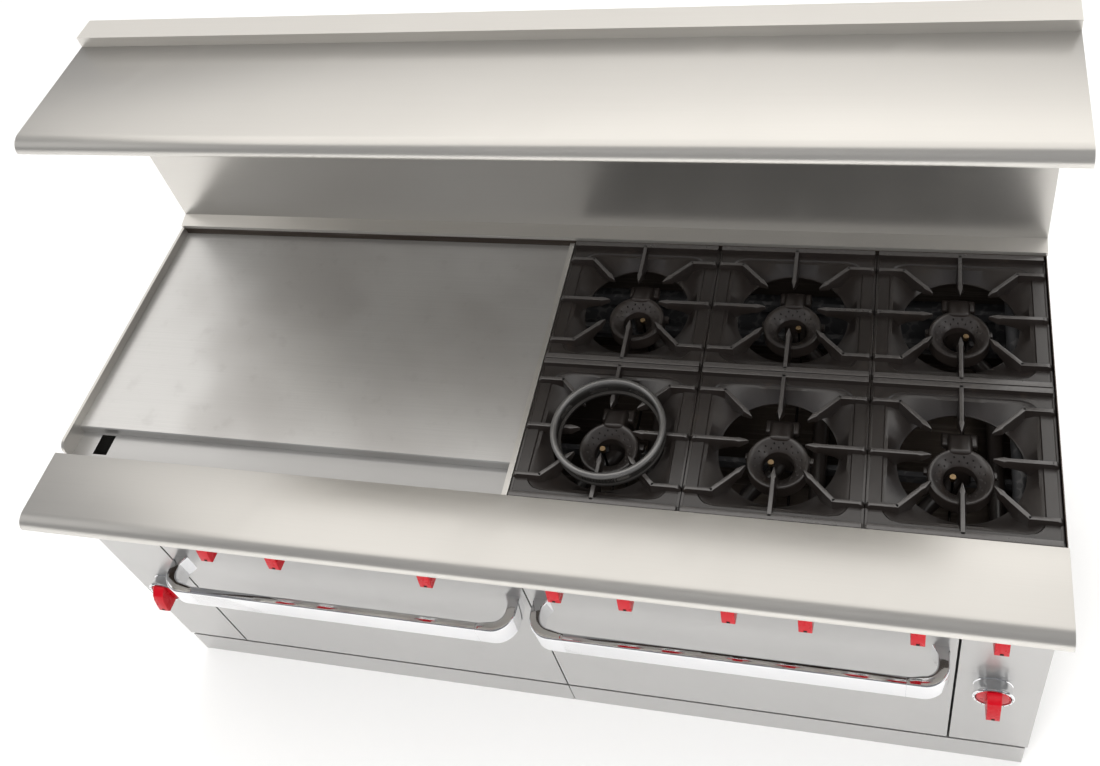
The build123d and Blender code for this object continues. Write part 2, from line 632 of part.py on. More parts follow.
def door_hinges():
    """Arms on the face frame, each forged with the pin that its door turns on."""
    pin_y, pin_z = FRONT + HINGE_Y, BODY_Z + HINGE_Z
    arms = []
    for side in SIDES.values():
        for x in hinge_places(side):
            arm = block((x - ARM_T / 2, x + ARM_T / 2), (pin_y, FRAME_Y), (pin_z - ARM_R, pin_z + ARM_R))
            arm += rod((x - ARM_T / 2, pin_y, pin_z), (x + ARM_T / 2, pin_y, pin_z), ARM_R)
            reach = ARM_T / 2 + SLIP + LUG_T
            arms.append(arm + rod((x - reach, pin_y, pin_z), (x + reach, pin_y, pin_z), PIN_R))
    return arms


def door_handle(side):
    """Bar between two end castings that curve back to the door."""
    x = (DOOR_X[0] + HANDLE_IN, DOOR_X[1] - HANDLE_IN)
    y_front = FRONT - HANDLE_OUT
    z = (HANDLE_Z - HANDLE_H / 2, HANDLE_Z + HANDLE_H / 2)
    outer = block(x, (y_front, FRONT), z)
    outer = fillet(outer.edges().filter_by(Axis.Z).group_by(Axis.Y)[0], HANDLE_R)
    inner = block((x[0] + HANDLE_ARM, x[1] - HANDLE_ARM), (y_front + HANDLE_T, FRONT), z)
    inner = fillet(inner.edges().filter_by(Axis.Z).group_by(Axis.Y)[0], HANDLE_R - HANDLE_T)
    hoop = outer - inner
    joints = (x[0] + CASTING_L, x[1] - CASTING_L)
    bar = hoop & block(joints, (y_front, FRONT), z)
    ends = [hoop & block((x[0], joints[0]), (y_front, FRONT), z), hoop & block((joints[1], x[1]), (y_front, FRONT), z)]
    pieces = [bar] + ends
    return pieces if side > 0 else [mirror(piece, Plane.YZ) for piece in pieces]


# ---------------------------------------------------------------- riser and shelf
def riser():
    """Flue riser: front, back and side sheets, and the step at its foot."""
    top = SHELF_Z - SHEET
    pieces = [
        block((-INNER, INNER), (RISER_Y, RISER_Y + SHEET), (COOK_Z + STEP_H - SHEET, top)),
        prism_x([(TOP_BACK, COOK_Z - SHEET), (TOP_BACK, COOK_Z + STEP_H / 2), (RISER_Y, COOK_Z + STEP_H),
                 (RISER_Y, COOK_Z + STEP_H - SHEET), (TOP_BACK + SHEET, COOK_Z + STEP_H / 2 - SHEET),
                 (TOP_BACK + SHEET, COOK_Z - SHEET)], (-HALF, HALF)),
    ]
    rear = block((-INNER, INNER), (BACK - SHEET, BACK), (SIDE_TOP, top))
    for i in range(9):
        x = (i - 4) * WIDTH / 10
        rear -= block((x - 60, x + 60), (BACK - SHEET, BACK), (top - 60, top - 45))
    pieces.append(rear)
    for side in SIDES.values():
        pieces.append(block(span((INNER, HALF), side), (RISER_Y, BACK), (SIDE_TOP, top)))
    return pieces


def high_shelf():
    """Full-width shelf with a rolled nose and turned-down ends."""
    radius = LEDGE_H / 2
    return rolled_edge(RISER_Y - SHELF_D, RISER_Y, SHELF_Z, radius, radius)


def shelf_brackets():
    """Gussets from the riser to the underside of the shelf."""
    z = SHELF_Z - SHEET
    outline = [(RISER_Y, z), (RISER_Y - 180, z), (RISER_Y - 180, z - 20), (RISER_Y - 20, z - 140), (RISER_Y, z - 140)]
    return [prism_x(outline, (x - SHEET, x + SHEET)) for x in (-HALF * 0.75, -HALF * 0.25, HALF * 0.25, HALF * 0.75)]


def flue_cap():
    """Channel that closes the riser behind the shelf."""
    low, high = SHELF_Z - SHEET, SHELF_Z + UPSTAND - SHEET
    inside = (RISER_Y + SHEET, BACK - SHEET)
    return [
        block((-HALF, HALF), (RISER_Y, BACK), (high, high + SHEET)),
        block((-HALF, HALF), (RISER_Y, inside[0]), (low, high)),
        block((-HALF, HALF), (inside[1], BACK), (low, high)),
        block((-HALF, -INNER), inside, (low, high)),
        block((INNER, HALF), inside, (low, high)),
    ]


def fasteners():
    """Pan-head screws on the kick plates' top flanges."""
    screws = []
    for x in (72.5, HALF - 204.8, HALF - 65.6):
        for side in SIDES.values():
            screws.append(rod((x * side, FRONT + 6, KICK_H), (x * side, FRONT + 6, KICK_H + 2.4), 4))
    return screws


# ---------------------------------------------------------------- nodes
NODES = {
    "base_frame": base_frame(),
    "kick_plates": kick_plates(),
    "back_panel": back_panel(),
    "oven_deck": oven_deck(),
    "centre_divider": centre_divider(),
    "control_panel": control_panel(),
    "landing_ledge": landing_ledge(),
    "burner_box": burner_box(),
    "burner_rails": burner_rails(),
    "divider_strip": divider_strip(),
    "griddle_plate": griddle_plate(),
    "griddle_splash": griddle_splash(),
    "griddle_trough": griddle_trough(),
    "burners_front": burners(0, -1),
    "burners_back": burners(1, 1),
    "pilots": pilots(),
    "gas_manifold": gas_manifold(),
    "gas_valves": gas_valves(),
    "thermostats": thermostats(),
    "crumb_tray": drawer((GRATE_X0, INNER - 4 * SLIP), 300),
    "grease_drawer": drawer((-INNER + 2 * SLIP, -INNER + 2 * SLIP + GREASE_W), 90),
    "knob_bezels": knob_bezels(),
    "wok_ring": wok_ring(),
    "oven_face_frame": oven_face_frame(),
    "oven_racks": oven_racks(),
    "tube_burners": griddle_burners() + oven_burners(),
    "oven_liners": oven_liner(-1) + oven_liner(1),
    "door_hinges": door_hinges(),
    "riser": riser(),
    "high_shelf": high_shelf(),
    "shelf_brackets": shelf_brackets(),
    "flue_cap": flue_cap(),
    "fasteners": fasteners(),
}
for name, side in SIDES.items():
    NODES[f"side_panel_{name}"] = side_panel(side)
    NODES[f"front_panel_{name}"] = front_panel(side)
    NODES[f"door_pan_{name}"] = door_pan(side)
    NODES[f"door_liner_{name}"] = door_liner(side)
    NODES[f"door_handle_{name}"] = door_handle(side)
    NODES[f"thermostat_knob_{name}"] = knob(THERMO_X * side, THERMO_Z, 30)
for i, x in enumerate(GRIDDLE_KNOBS):
    NODES[f"griddle_knob_{i + 1}"] = knob(x, CONTROL_Z, MANIFOLD_Y - 24)
for i, x in enumerate(BURNER_KNOBS):
    NODES[f"burner_knob_{i + 1}"] = knob(x, CONTROL_Z, MANIFOLD_Y - 24)
for row, row_name in enumerate(("front", "back")):
    for column in range(3):
        NODES[f"grate_{row_name}_{column + 1}"] = grate(column, row)

for name, pieces in NODES.items():
    solids = [solid for piece in pieces for solid in piece.solids()]
    export_step(solids[0] if len(solids) == 1 else Compound(solids), f"parts/{name}.step")
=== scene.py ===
from itertools import pairwise
from math import atan2, cos, hypot, pi, radians, sin

import bpy
from mathutils import Matrix, Vector


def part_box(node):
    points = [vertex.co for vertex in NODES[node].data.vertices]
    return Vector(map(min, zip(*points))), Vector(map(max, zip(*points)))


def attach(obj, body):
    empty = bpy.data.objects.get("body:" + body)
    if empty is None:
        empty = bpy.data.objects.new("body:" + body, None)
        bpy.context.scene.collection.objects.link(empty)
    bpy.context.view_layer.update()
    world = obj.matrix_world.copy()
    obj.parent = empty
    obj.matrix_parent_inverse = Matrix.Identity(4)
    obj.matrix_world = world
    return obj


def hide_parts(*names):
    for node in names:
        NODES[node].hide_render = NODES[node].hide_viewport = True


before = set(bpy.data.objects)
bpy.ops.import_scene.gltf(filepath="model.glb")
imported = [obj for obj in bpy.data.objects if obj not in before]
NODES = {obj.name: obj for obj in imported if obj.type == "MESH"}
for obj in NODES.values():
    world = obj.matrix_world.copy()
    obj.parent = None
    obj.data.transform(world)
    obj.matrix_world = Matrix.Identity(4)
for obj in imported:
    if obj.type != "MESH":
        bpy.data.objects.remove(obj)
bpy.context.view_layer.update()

MM = 0.001
TOUCH = 1e-5  # a point this near a place counts as being on it
MERGE = 1e-6  # points this near each other are one point
QUARTER_TURN = -pi / 2  # spin turns clockwise about +Z when there is no window


# ---------------------------------------------------------------- shader arithmetic
class Num:
    """A number that varies over a surface. Arithmetic on it adds Math nodes."""

    def __init__(self, tree, socket):
        self.tree = tree
        self.socket = socket

    def math(self, operation, *values):
        node = self.tree.nodes.new("ShaderNodeMath")
        node.operation = operation
        for slot, value in zip(node.inputs, values):
            if isinstance(value, Num):
                self.tree.links.new(value.socket, slot)
            else:
                slot.default_value = value
        return Num(self.tree, node.outputs[0])

    def __add__(self, other):
        return self.math("ADD", self, other)

    __radd__ = __add__

    def __sub__(self, other):
        return self.math("SUBTRACT", self, other)

    def __rsub__(self, other):
        return self.math("SUBTRACT", other, self)

    def __mul__(self, other):
        return self.math("MULTIPLY", self, other)

    __rmul__ = __mul__

    def between(self, low, high):
        """0 below low, 1 above high, and smooth in between."""
        node = self.tree.nodes.new("ShaderNodeMapRange")
        node.interpolation_type = "SMOOTHSTEP"
        self.tree.links.new(self.socket, node.inputs["Value"])
        node.inputs["From Min"].default_value = low
        node.inputs["From Max"].default_value = high
        return Num(self.tree, node.outputs["Result"])


class Finish:
    """A material being made: one Principled shader, fed by nodes on object coordinates."""

    def __init__(self, name, **constants):
        self.material = bpy.data.materials.new(name)
        self.material.use_nodes = True
        self.tree = self.material.node_tree
        self.shader = self.tree.nodes["Principled BSDF"]
        for socket, value in constants.items():
            self.shader.inputs[socket.replace("_", " ")].default_value = value
        self.here = self.add("TexCoord").outputs["Object"]

    def add(self, kind, settings=None, inputs=None):
        node = self.tree.nodes.new("ShaderNode" + kind)
        for key, value in (settings or {}).items():
            setattr(node, key, value)
        for key, value in (inputs or {}).items():
            self.feed(node.inputs[key], value)
        return node

    def feed(self, socket, value):
        if isinstance(value, Num):
            value = value.socket
        if isinstance(value, bpy.types.NodeSocket):
            self.tree.links.new(value, socket)
        else:
            socket.default_value = value

    def stretch(self, scale, turn=(0, 0, 0)):
        """Object coordinates turned and then scaled along each axis."""
        inputs = {"Vector": self.here, "Rotation": turn}
        turned_to = self.add("Mapping", {"vector_type": "POINT"}, inputs)
        inputs = {"Vector": turned_to.outputs[0], "Scale": scale}
        return self.add("Mapping", None, inputs).outputs[0]

    def noise(self, vector, scale=1.0, detail=3.0, roughness=0.5):
        inputs = {"Vector": vector, "Scale": scale, "Detail": detail, "Roughness": roughness}
        return Num(self.tree, self.add("TexNoise", None, inputs).outputs["Fac"])

    def cells(self, scale):
        inputs = {"Vector": self.here, "Scale": scale}
        return Num(self.tree, self.add("TexVoronoi", None, inputs).outputs["Distance"])

    def axis(self, letter):
        return Num(self.tree, self.add("SeparateXYZ", None, {"Vector": self.here}).outputs[letter])

    def facing(self, letter):
        """How far the surface faces along an axis, from -1 to 1."""
        normal = self.add("NewGeometry").outputs["Normal"]
        return Num(self.tree, self.add("SeparateXYZ", None, {"Vector": normal}).outputs[letter])

    def mix(self, factor, first, second):
        node = self.add("Mix", {"data_type": "RGBA", "blend_type": "MIX"}, {0: factor})
        self.feed(node.inputs[6], first)
        self.feed(node.inputs[7], second)
        return node.outputs[2]

    def done(self, colour=None, roughness=None, height=None, depth=0.0002, strength=0.5):
        if colour is not None:
            self.feed(self.shader.inputs["Base Color"], colour)
        if roughness is not None:
            self.feed(self.shader.inputs["Roughness"], roughness)
        if height is not None:
            inputs = {"Height": height, "Distance": depth, "Strength": strength}
            bump = self.add("Bump", None, inputs)
            self.feed(self.shader.inputs["Normal"], bump.outputs[0])
        return self.material


def rgb(red, green, blue):
    return (red, green, blue, 1.0)


# ---------------------------------------------------------------- finishes
SHEET_ROUGHNESS = 0.30
PAN_TOP = 0.7704  # pans slide over the grates at this height
PAN_WEAR = 1.8 * MM
RING_HIGHLIGHT_FROM, RING_HIGHLIGHT_FULL = 0.786, 0.803  # heights between which the wok ring's colour turns to a painted highlight


def brushed_sheet(name, light, dark):
    """Stainless sheet with its grain along X, faint wipe marks and soft cloudy tone."""
    metal = Finish(name, Metallic=0.84)
    grain = (3, 420, 420)
    lines = metal.noise(metal.stretch(grain), detail=4, roughness=0.65)
    fine = metal.noise(metal.stretch([g * 3.1 for g in grain]), detail=2, roughness=0.6)
    cloud = metal.noise(metal.stretch((2.2, 2.6, 2.4)), detail=3, roughness=0.55)
    wipes = metal.noise(metal.stretch((9, 3, 6), (0.3, 0.2, 0.5)), detail=4, roughness=0.6)
    wipes = wipes.between(0.52, 0.75)
    colour = metal.mix(lines * 0.35 + cloud * 0.65, rgb(*dark), rgb(*light))
    roughness = SHEET_ROUGHNESS - 0.06 + lines * 0.08 + fine * 0.05 + wipes * 0.05
    return metal.done(colour, roughness, lines * 0.6 + fine * 0.4, 0.00006, 0.35)


def griddle_steel():
    """Ground plate: crossed grinding marks, heat tint in soft patches and small darker, rougher
    spots.
    """
    metal = Finish("griddle_steel", Metallic=0.86)
    across = metal.noise(metal.stretch((4, 700, 700)), detail=4, roughness=0.65)
    swirl = metal.noise(metal.stretch((60, 900, 60), (0, 0, 0.5)), detail=3)
    patch = metal.noise(metal.stretch((3.2, 4.2, 3.0), (0, 0, 0.6)), detail=2, roughness=0.45)
    stain = patch.between(0.38, 0.68)
    spots = metal.noise(metal.here, 28, 5, 0.6).between(0.56, 0.7)
    plain = metal.mix(across, rgb(0.62, 0.615, 0.60), rgb(0.76, 0.75, 0.735))
    colour = metal.mix(stain * 0.5 + spots * 0.12, plain, rgb(0.50, 0.48, 0.46))
    roughness = 0.31 + across * 0.1 + stain * 0.08 + spots * 0.05
    return metal.done(colour, roughness, across * 0.7 + swirl * 0.3, 0.00005, 0.3)


def polished_chrome():
    """Bright plate with the faintest haze."""
    plate = Finish("polished_chrome", Metallic=1.0)
    haze = plate.noise(plate.here, 14, 4, 0.6)
    ripple = plate.noise(plate.here, 60, 2, 0.5)
    colour = plate.mix(haze, rgb(0.80, 0.81, 0.83), rgb(0.90, 0.90, 0.91))
    return plate.done(colour, 0.04 + haze * 0.06, ripple, 0.00003, 0.15)


def seasoned_iron(name="seasoned_iron", tone=1.0):
    """Sand-cast iron, brown-black with oil, rubbed lighter where pans slide over the top."""
    iron = Finish(name, Specular_IOR_Level=1.0, Coat_Weight=0.3, Coat_Roughness=0.22)
    sand = iron.noise(iron.here, 900, 3, 0.6)
    lumps = iron.noise(iron.here, 140, 4, 0.55)
    cloud = iron.noise(iron.here, 9, 4, 0.6)
    rust = iron.noise(iron.here, 34, 5, 0.65).between(0.60, 0.74)
    upward = iron.facing("Z").between(0.35, 0.9)
    worn = iron.axis("Z").between(PAN_TOP - PAN_WEAR, PAN_TOP) * upward * (0.35 + lumps * 0.8)
    deep, pale = (0.006, 0.0047, 0.0042), (0.021, 0.0165, 0.0145)
    colour = iron.mix(cloud, rgb(*[c * tone for c in deep]), rgb(*[c * tone for c in pale]))
    colour = iron.mix(rust * 0.25, colour, rgb(0.050, 0.032, 0.022))
    colour = iron.mix(worn * 0.30, colour, rgb(0.20, 0.19, 0.185))
    roughness = 0.27 + cloud * 0.14 - worn * 0.06 + rust * 0.12
    return iron.done(colour, roughness, sand * 0.4 + lumps * 0.6, 0.0004, 0.35)


def ring_steel_painted_highlight():
    """Cast steel of the wok ring, its rolled top painted lighter as a highlight, plain dark below,
    inside the windows too.
    """
    steel = Finish("ring_steel_painted_highlight", Metallic=0.8)
    sand = steel.noise(steel.here, 500, 3, 0.6)
    cloud = steel.noise(steel.here, 22, 4, 0.6)
    # painted highlight: the rolled top is coloured lighter where the overhead light falls on it
    high = steel.axis("Z").between(RING_HIGHLIGHT_FROM, RING_HIGHLIGHT_FULL)
    dull = steel.mix(cloud, rgb(0.035, 0.032, 0.030), rgb(0.085, 0.08, 0.075))
    colour = steel.mix(high * (0.55 + cloud * 0.45), dull, rgb(0.30, 0.295, 0.29))
    return steel.done(colour, 0.42 - high * 0.17 + cloud * 0.1, sand, 0.0002, 0.3)


def red_moulding():
    """Glossy phenolic red, its depth varying in soft random clouds, with a faint orange-peel skin.
    """
    red = Finish("red_moulding", Specular_IOR_Level=0.28)
    cloud = red.noise(red.here, 40, 3, 0.5)
    peel = red.noise(red.here, 700, 2, 0.5)
    scuffs = red.noise(red.stretch((300, 60, 300)), 1, 4, 0.6).between(0.62, 0.74)
    colour = red.mix(cloud, rgb(0.44, 0.0015, 0.008), rgb(0.56, 0.003, 0.014))
    colour = red.mix(scuffs * 0.08, colour, rgb(0.70, 0.12, 0.12))
    return red.done(colour, 0.24 + cloud * 0.08 + scuffs * 0.1, peel, 0.00005, 0.25)


def dark_paint():
    """Satin black paint with dust and small chips of grey primer."""
    paint = Finish("dark_paint")
    tone = (0.020, 0.020, 0.021)
    cloud = paint.noise(paint.here, 8, 4, 0.6)
    skin = paint.noise(paint.here, 420, 3, 0.55)
    chips = paint.cells(70).between(0.62, 0.70)
    colour = paint.mix(cloud, rgb(*tone), rgb(*[2.2 * t for t in tone]))
    colour = paint.mix(chips * 0.3, colour, rgb(0.16, 0.155, 0.15))
    return paint.done(colour, 0.42 + cloud * 0.15 + chips * 0.1, skin, 0.00012, 0.4)


def speckled_enamel():
    """Blue-black baked enamel with fine pale flecks."""
    enamel = Finish("speckled_enamel", Coat_Weight=0.5, Coat_Roughness=0.12)
    flecks = 1 - enamel.cells(420).between(0.10, 0.24)
    sparse = enamel.noise(enamel.here, 160, 2, 0.5).between(0.55, 0.62)
    cloud = enamel.noise(enamel.here, 6, 3, 0.5)
    colour = enamel.mix(cloud, rgb(0.016, 0.018, 0.024), rgb(0.028, 0.031, 0.040))
    colour = enamel.mix(flecks * sparse * 0.8, colour, rgb(0.42, 0.44, 0.48))
    return enamel.done(colour, 0.22 + cloud * 0.12, cloud, 0.0002, 0.2)


def zinc_plate():
    """Zinc-plated steel with a soft spangle."""
    zinc = Finish("zinc_plate", Metallic=0.9)
    spangle = zinc.cells(60)
    cloud = zinc.noise(zinc.here, 12, 4, 0.6)
    colour = zinc.mix(spangle * 0.6 + cloud * 0.4, rgb(0.36, 0.36, 0.35), rgb(0.58, 0.58, 0.56))
    return zinc.done(colour, 0.34 + cloud * 0.14, spangle, 0.00008, 0.2)


def turned_brass(name="turned_brass", tip=None):
    """Machined brass, darkened a little by heat; dark tube below the height of a tip, if given."""
    brass = Finish(name, Metallic=1.0)
    heat = brass.noise(brass.here, 26, 4, 0.6)
    rings = brass.noise(brass.stretch((200, 200, 2600)), 1, 2, 0.5)
    colour = brass.mix(heat, rgb(0.46, 0.28, 0.14), rgb(0.82, 0.62, 0.36))
    if tip is not None:
        bright = brass.axis("Z").between(tip - 0.002, tip)
        colour = brass.mix(bright, rgb(0.06, 0.055, 0.05), colour)
    return brass.done(colour, 0.22 + heat * 0.18, rings, 0.00005, 0.3)


def tray_steel():
    """Plain steel of the trays, browned by heat, with lighter streaks painted in as reflections and
    also given as faint relief.
    """
    tray = Finish("tray_steel", Metallic=0.9)
    cloud = tray.noise(tray.here, 7, 4, 0.6)
    streaks_painted_reflection = tray.noise(tray.stretch((6, 160, 160)), 1, 4, 0.6).between(0.5, 0.75)
    colour = tray.mix(cloud, rgb(0.055, 0.042, 0.035), rgb(0.14, 0.115, 0.095))
    # painted reflection: lighter streaks in the colour stand in for the tray's shine
    colour = tray.mix(streaks_painted_reflection * 0.35, colour, rgb(0.34, 0.31, 0.28))
    return tray.done(colour, 0.32 + cloud * 0.18, streaks_painted_reflection, 0.00005, 0.3)


def soot_and_port_shade():
    """Near-black with faint dust: soot with painted shade inside a drilled port; also the dark
    marks of the knobs and bezels.
    """
    black = Finish("soot_and_port_shade")
    dust = black.noise(black.here, 300, 2, 0.5)
    colour = black.mix(dust, rgb(0.003, 0.003, 0.003), rgb(0.010, 0.009, 0.008))
    return black.done(colour, 0.8 + dust * 0.15)


def paint_with(piece, *materials):
    piece.data.materials.clear()
    for material in materials:
        piece.data.materials.append(material)


# ---------------------------------------------------------------- modelling by hand
def pick(*pieces):
    """Only these pieces are selected, and the last is active."""
    bpy.ops.object.select_all(action="DESELECT")
    for piece in pieces:
        piece.select_set(True)
    bpy.context.view_layer.objects.active = pieces[-1]


def start(kind, name, **where):
    bpy.ops.object.select_all(action="DESELECT")
    getattr(bpy.ops.mesh, f"primitive_{kind}_add")(**where)
    piece = bpy.context.object
    piece.name = name
    return piece


def settle(piece):
    pick(piece)
    bpy.ops.object.transform_apply(location=True, rotation=True, scale=True)
    return piece


def block(name, low, high):
    low, high = Vector(low), Vector(high)
    piece = start("cube", name, size=1, location=(low + high) / 2)
    bpy.ops.transform.resize(value=high - low)
    return settle(piece)


def choose(piece, test, kind="VERT"):
    """Opens the piece for editing with only the vertices or faces that pass the test selected."""
    pick(piece)
    bpy.ops.object.mode_set(mode="EDIT")
    bpy.ops.mesh.select_mode(type=kind)
    bpy.ops.mesh.select_all(action="DESELECT")
    bpy.ops.object.mode_set(mode="OBJECT")
    for item in piece.data.vertices if kind == "VERT" else piece.data.polygons:
        item.select = bool(test(item))
    bpy.ops.object.mode_set(mode="EDIT")


def close():
    bpy.ops.object.mode_set(mode="OBJECT")


def modify(piece, kind, **settings):
    pick(piece)
    modifier = piece.modifiers.new(kind.lower(), kind)
    for key, value in settings.items():
        setattr(modifier, key, value)
    bpy.ops.object.modifier_apply(modifier=modifier.name)
    return piece


def soften(piece, width, segments=2, angle=35):
    """Rounds the edges and smooths what is left under the angle."""
    modify(piece, "BEVEL", width=width, segments=segments, limit_method="ANGLE",
           angle_limit=radians(angle))
    return shade(piece)


def shade(piece, angle=40):
    pick(piece)
    bpy.ops.object.shade_smooth_by_angle(angle=radians(angle))
    return piece


def tidy(piece):
    """Merges doubled points and turns the faces outwards."""
    choose(piece, lambda v: True)
    bpy.ops.mesh.remove_doubles(threshold=MERGE)
    bpy.ops.mesh.normals_make_consistent(inside=False)
    close()
    return piece


def join(name, pieces):
    pick(*pieces)
    bpy.ops.object.join()
    bpy.context.object.name = name
    return bpy.context.object


def copy(piece, name, place):
    """A copy with its own mesh, put in its place in the mesh."""
    other = piece.copy()
    other.data = piece.data.copy()
    other.data.transform(place)
    other.name = name
    bpy.context.scene.collection.objects.link(other)
    return other


def discard(piece):
    bpy.data.objects.remove(piece, do_unlink=True)


def turned(name, profile, sides=64, ring=True):
    """A turned shape about Z: a circle, extruded and resized to each further (radius, height).
    A ring's profile comes back to its first point, and any other has its two ends filled."""
    points = list(profile) + ([profile[0]] if ring else [])
    radius, height = points[0]
    piece = start("circle", name, vertices=sides, radius=radius, location=(0, 0, height),
                  fill_type="NOTHING")
    bpy.ops.object.mode_set(mode="EDIT")
    bpy.ops.mesh.select_all(action="SELECT")
    for (r0, z0), (r1, z1) in pairwise(points):
        bpy.ops.mesh.extrude_edges_move(TRANSFORM_OT_translate={"value": (0, 0, z1 - z0)})
        bpy.ops.transform.resize(value=(r1 / r0, r1 / r0, 1), center_override=(0, 0, z1))
    if not ring:
        bpy.ops.mesh.select_all(action="SELECT")
        bpy.ops.mesh.fill_holes(sides=0)
    close()
    settle(piece)
    return shade(tidy(piece))


def tube(name, points, radius):
    """Round pipe along the points, its corners eased by a NURBS path."""
    curve = bpy.data.curves.new(name, "CURVE")
    curve.dimensions = "3D"
    curve.bevel_depth = radius
    curve.bevel_resolution = 5
    curve.use_fill_caps = True
    curve.resolution_u = 8
    spline = curve.splines.new("NURBS")
    spline.points.add(len(points) - 1)
    for point, place in zip(spline.points, points):
        point.co = (*place, 1)
    spline.use_endpoint_u = True
    spline.order_u = 3
    piece = bpy.data.objects.new(name, curve)
    bpy.context.scene.collection.objects.link(piece)
    pick(piece)
    bpy.ops.object.convert(target="MESH")
    return shade(tidy(bpy.context.object))


def dress(piece, material, slot, body, *replaced):
    """Gives a finished piece its material and body and hides the CAD nodes it stands for; the slot
    is not used.
    """
    if material is not None:
        paint_with(piece, material)
    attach(piece, body)
    if replaced:
        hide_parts(*replaced)
    return piece


def middle(node):
    low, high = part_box(node)
    return (low + high) / 2


# ---------------------------------------------------------------- cast grates
RIM = 11 * MM  # width of the bars along the front and back
GRATE_DEPTH = 40 * MM
WEB = 11 * MM  # cast plate below the grate's top
PLATE = 4.0 * MM  # its thickness
BORDER_X, BORDER_Y = 24 * MM, 21 * MM  # flat border round the sunken panel
MOUTH = 103 * MM  # radius of the opening over the burner
LIP = 3 * MM  # rounded edge of the mouth
ROOT = 13 * MM  # finger across its foot
RIDGE = 7 * MM  # finger across its top
TIP = 48 * MM  # finger tips from the middle
ARM_Y = 101 * MM  # side arms from the middle
BEND = 100 * MM  # where a side arm turns inwards


def finger(name, inner, outer):
    """Upright rib along X with drafted sides, arched underneath, with a spear point inside."""
    arch = inner + 0.5 * (outer - inner)
    rib = block(name, (inner, -ROOT / 2, -GRATE_DEPTH + 5 * MM), (outer, ROOT / 2, 0))
    cuts = (inner + 6 * MM, inner + 17 * MM, inner + 23 * MM, arch, arch + 14 * MM)
    for x in cuts:
        choose(rib, lambda v: True)
        bpy.ops.mesh.bisect(plane_co=(x, 0, 0), plane_no=(1, 0, 0))
        close()
    choose(rib, lambda v: v.co.z > -6 * MM)
    bpy.ops.transform.resize(value=(1, RIDGE / ROOT, 1), center_override=(0, 0, 0))
    close()
    for x, lift in ((inner, 28), (cuts[0], 25), (cuts[1], 21), (cuts[2], 19), (arch, 12)):
        choose(rib, lambda v: abs(v.co.x - x) < TOUCH and v.co.z < -20 * MM)
        bpy.ops.transform.translate(value=(0, 0, lift * MM))
        close()
    for x, narrow in ((inner, 0.18), (cuts[0], 0.55), (cuts[1], 1.25), (cuts[2], 0.9)):
        choose(rib, lambda v: abs(v.co.x - x) < TOUCH)
        bpy.ops.transform.resize(value=(1, narrow, 1), center_override=(x, 0, 0))
        close()
    choose(rib, lambda v: v.co.x < inner + TOUCH)
    bpy.ops.transform.translate(value=(0, 0, -1.5 * MM))
    close()
    return rib


def notched_foot(name, inner, outer):
    """Straight root of a side finger, cut away at the seam so that two grates meet in a V."""
    foot = block(name, (inner, -ROOT / 2, -GRATE_DEPTH + 5 * MM), (outer, ROOT / 2, 0))
    for x in (outer - 10 * MM, outer - 5 * MM):
        choose(foot, lambda v: True)
        bpy.ops.mesh.bisect(plane_co=(x, 0, 0), plane_no=(1, 0, 0))
        close()
    choose(foot, lambda v: v.co.z > -6 * MM)
    bpy.ops.transform.resize(value=(1, RIDGE / ROOT, 1), center_override=(0, 0, 0))
    close()
    choose(foot, lambda v: v.co.x > outer - TOUCH and v.co.z > -TOUCH)
    bpy.ops.transform.translate(value=(0, 0, -8 * MM))
    close()
    choose(foot, lambda v: abs(v.co.x - outer + 5 * MM) < TOUCH and v.co.z > -TOUCH)
    bpy.ops.transform.resize(value=(1, 1.35, 1), center_override=(0, 0, 0))
    close()
    return foot


def placed(piece, turn=0.0, shift=(0, 0, 0)):
    piece.data.transform(Matrix.Translation(shift) @ Matrix.Rotation(turn, 4, "Z"))
    return piece


def ring_radius(piece, height):
    """Mean distance from the middle of the points at a height."""
    reach = [Vector(v.co[:2]).length for v in piece.data.vertices if abs(v.co.z - height) < TOUCH]
    return sum(reach) / len(reach)


